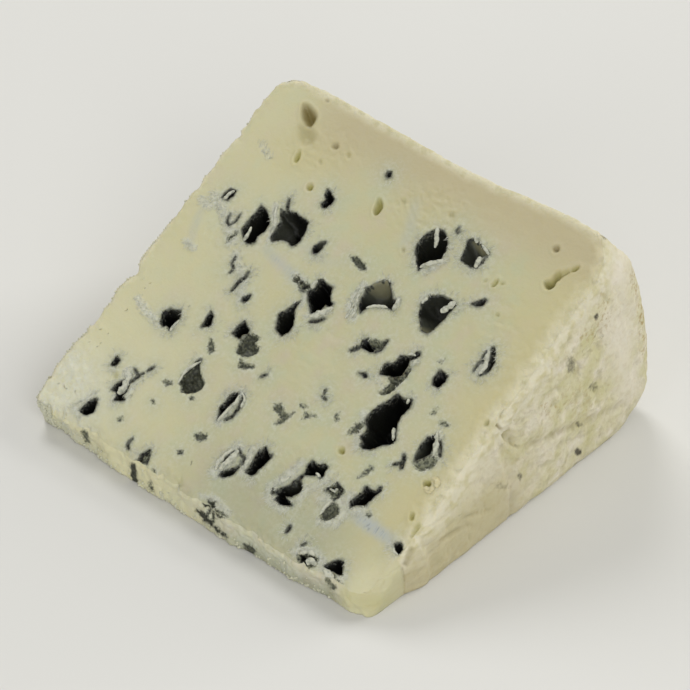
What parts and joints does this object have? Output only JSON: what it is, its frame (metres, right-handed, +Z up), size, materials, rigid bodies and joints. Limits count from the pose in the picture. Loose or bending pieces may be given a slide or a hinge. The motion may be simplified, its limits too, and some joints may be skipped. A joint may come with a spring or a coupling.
{
  "type": "blue cheese wedge",
  "caption": "Wedge cut from a drum-shaped blue-veined cheese, lying on one cut face, with mould hollows on the other, a blunt nose and rind on three sides.",
  "frame": {"origin": "on the cut face that the wedge rests on, under the middle of its bounding box", "axes": "+X from the blunt nose to the rind of the wheel's side, +Y along the wheel's axis, +Z up"},
  "size_m": [0.09, 0.0904, 0.0505],
  "materials": {
    "paste": "moist, slightly waxy cream paste with blue-green mould in its hollows and a rough, paler rind"
  },
  "bodies": {
    "root": {"cheese_wedge": "paste"}
  },
  "joints": []
}
